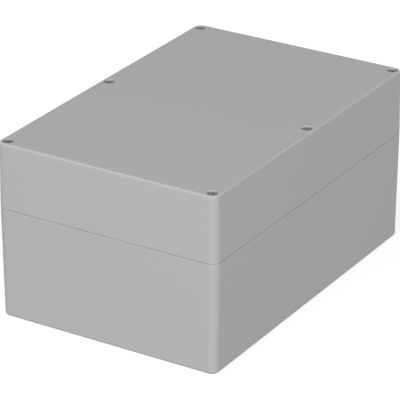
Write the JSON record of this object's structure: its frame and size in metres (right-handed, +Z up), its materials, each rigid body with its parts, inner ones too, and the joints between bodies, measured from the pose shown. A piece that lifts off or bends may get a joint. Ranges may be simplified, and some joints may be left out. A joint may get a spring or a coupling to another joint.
{
  "type": "polycarbonate enclosure",
  "caption": "Rectangular grey enclosure for electronics: drafted base and deep screwed lid that meet on a gasketed tongue-and-groove seam, with wall-mounting wells inside.",
  "frame": {"origin": "centre of the flat underside", "axes": "+X along the 240 mm length, +Y along the 160 mm width, +Z up towards the lid"},
  "size_m": [0.24, 0.16, 0.12],
  "materials": {
    "enclosure": "light grey polycarbonate, finely textured, low sheen",
    "gasket": "dark foamed strip",
    "screw_steel": "turned stainless steel",
    "washer_nylon": "natural nylon",
    "insert_brass": "turned and knurled"
  },
  "bodies": {
    "base": {"base": "enclosure", "thread_insert_1": "insert_brass", "thread_insert_2": "insert_brass", "thread_insert_3": "insert_brass", "thread_insert_4": "insert_brass", "thread_insert_5": "insert_brass", "thread_insert_6": "insert_brass", "floor_insert_1": "insert_brass", "floor_insert_2": "insert_brass", "floor_insert_3": "insert_brass", "floor_insert_4": "insert_brass"},
    "lid": {"lid": "enclosure", "gasket": "gasket"},
    "washer_1": {"screw_washer_1": "washer_nylon"},
    "screw_1": {"lid_screw_1": "screw_steel"},
    "washer_2": {"screw_washer_2": "washer_nylon"},
    "screw_2": {"lid_screw_2": "screw_steel"},
    "washer_3": {"screw_washer_3": "washer_nylon"},
    "screw_3": {"lid_screw_3": "screw_steel"},
    "washer_4": {"screw_washer_4": "washer_nylon"},
    "screw_4": {"lid_screw_4": "screw_steel"},
    "washer_5": {"screw_washer_5": "washer_nylon"},
    "screw_5": {"lid_screw_5": "screw_steel"},
    "washer_6": {"screw_washer_6": "washer_nylon"},
    "screw_6": {"lid_screw_6": "screw_steel"}
  },
  "joints": [
    {"name": "lid_lift", "type": "slide", "parent": "base", "child": "lid", "axis": [0, 0, 1], "range_m": [0, 0.1]},
    {"name": "screw_1_rise", "type": "slide", "parent": "lid", "child": "washer_1", "axis": [0, 0, 1], "range_m": [0, 0.0084]},
    {"name": "screw_1_turn", "type": "hinge", "parent": "washer_1", "child": "screw_1", "pos_m": [-0.114, -0.074, 0.119], "axis": [0, 0, 1], "range_deg": [0, 4320]},
    {"name": "screw_2_rise", "type": "slide", "parent": "lid", "child": "washer_2", "axis": [0, 0, 1], "range_m": [0, 0.0084]},
    {"name": "screw_2_turn", "type": "hinge", "parent": "washer_2", "child": "screw_2", "pos_m": [0, -0.074, 0.119], "axis": [0, 0, 1], "range_deg": [0, 4320]},
    {"name": "screw_3_rise", "type": "slide", "parent": "lid", "child": "washer_3", "axis": [0, 0, 1], "range_m": [0, 0.0084]},
    {"name": "screw_3_turn", "type": "hinge", "parent": "washer_3", "child": "screw_3", "pos_m": [0.114, -0.074, 0.119], "axis": [0, 0, 1], "range_deg": [0, 4320]},
    {"name": "screw_4_rise", "type": "slide", "parent": "lid", "child": "washer_4", "axis": [0, 0, 1], "range_m": [0, 0.0084]},
    {"name": "screw_4_turn", "type": "hinge", "parent": "washer_4", "child": "screw_4", "pos_m": [-0.114, 0.074, 0.119], "axis": [0, 0, 1], "range_deg": [0, 4320]},
    {"name": "screw_5_rise", "type": "slide", "parent": "lid", "child": "washer_5", "axis": [0, 0, 1], "range_m": [0, 0.0084]},
    {"name": "screw_5_turn", "type": "hinge", "parent": "washer_5", "child": "screw_5", "pos_m": [0, 0.074, 0.119], "axis": [0, 0, 1], "range_deg": [0, 4320]},
    {"name": "screw_6_rise", "type": "slide", "parent": "lid", "child": "washer_6", "axis": [0, 0, 1], "range_m": [0, 0.0084]},
    {"name": "screw_6_turn", "type": "hinge", "parent": "washer_6", "child": "screw_6", "pos_m": [0.114, 0.074, 0.119], "axis": [0, 0, 1], "range_deg": [0, 4320]}
  ],
  "couplings": [
    {"joint": "screw_1_turn", "follows": "screw_1_rise", "rad_per_m": 8976},
    {"joint": "screw_2_turn", "follows": "screw_2_rise", "rad_per_m": 8976},
    {"joint": "screw_3_turn", "follows": "screw_3_rise", "rad_per_m": 8976},
    {"joint": "screw_4_turn", "follows": "screw_4_rise", "rad_per_m": 8976},
    {"joint": "screw_5_turn", "follows": "screw_5_rise", "rad_per_m": 8976},
    {"joint": "screw_6_turn", "follows": "screw_6_rise", "rad_per_m": 8976}
  ]
}
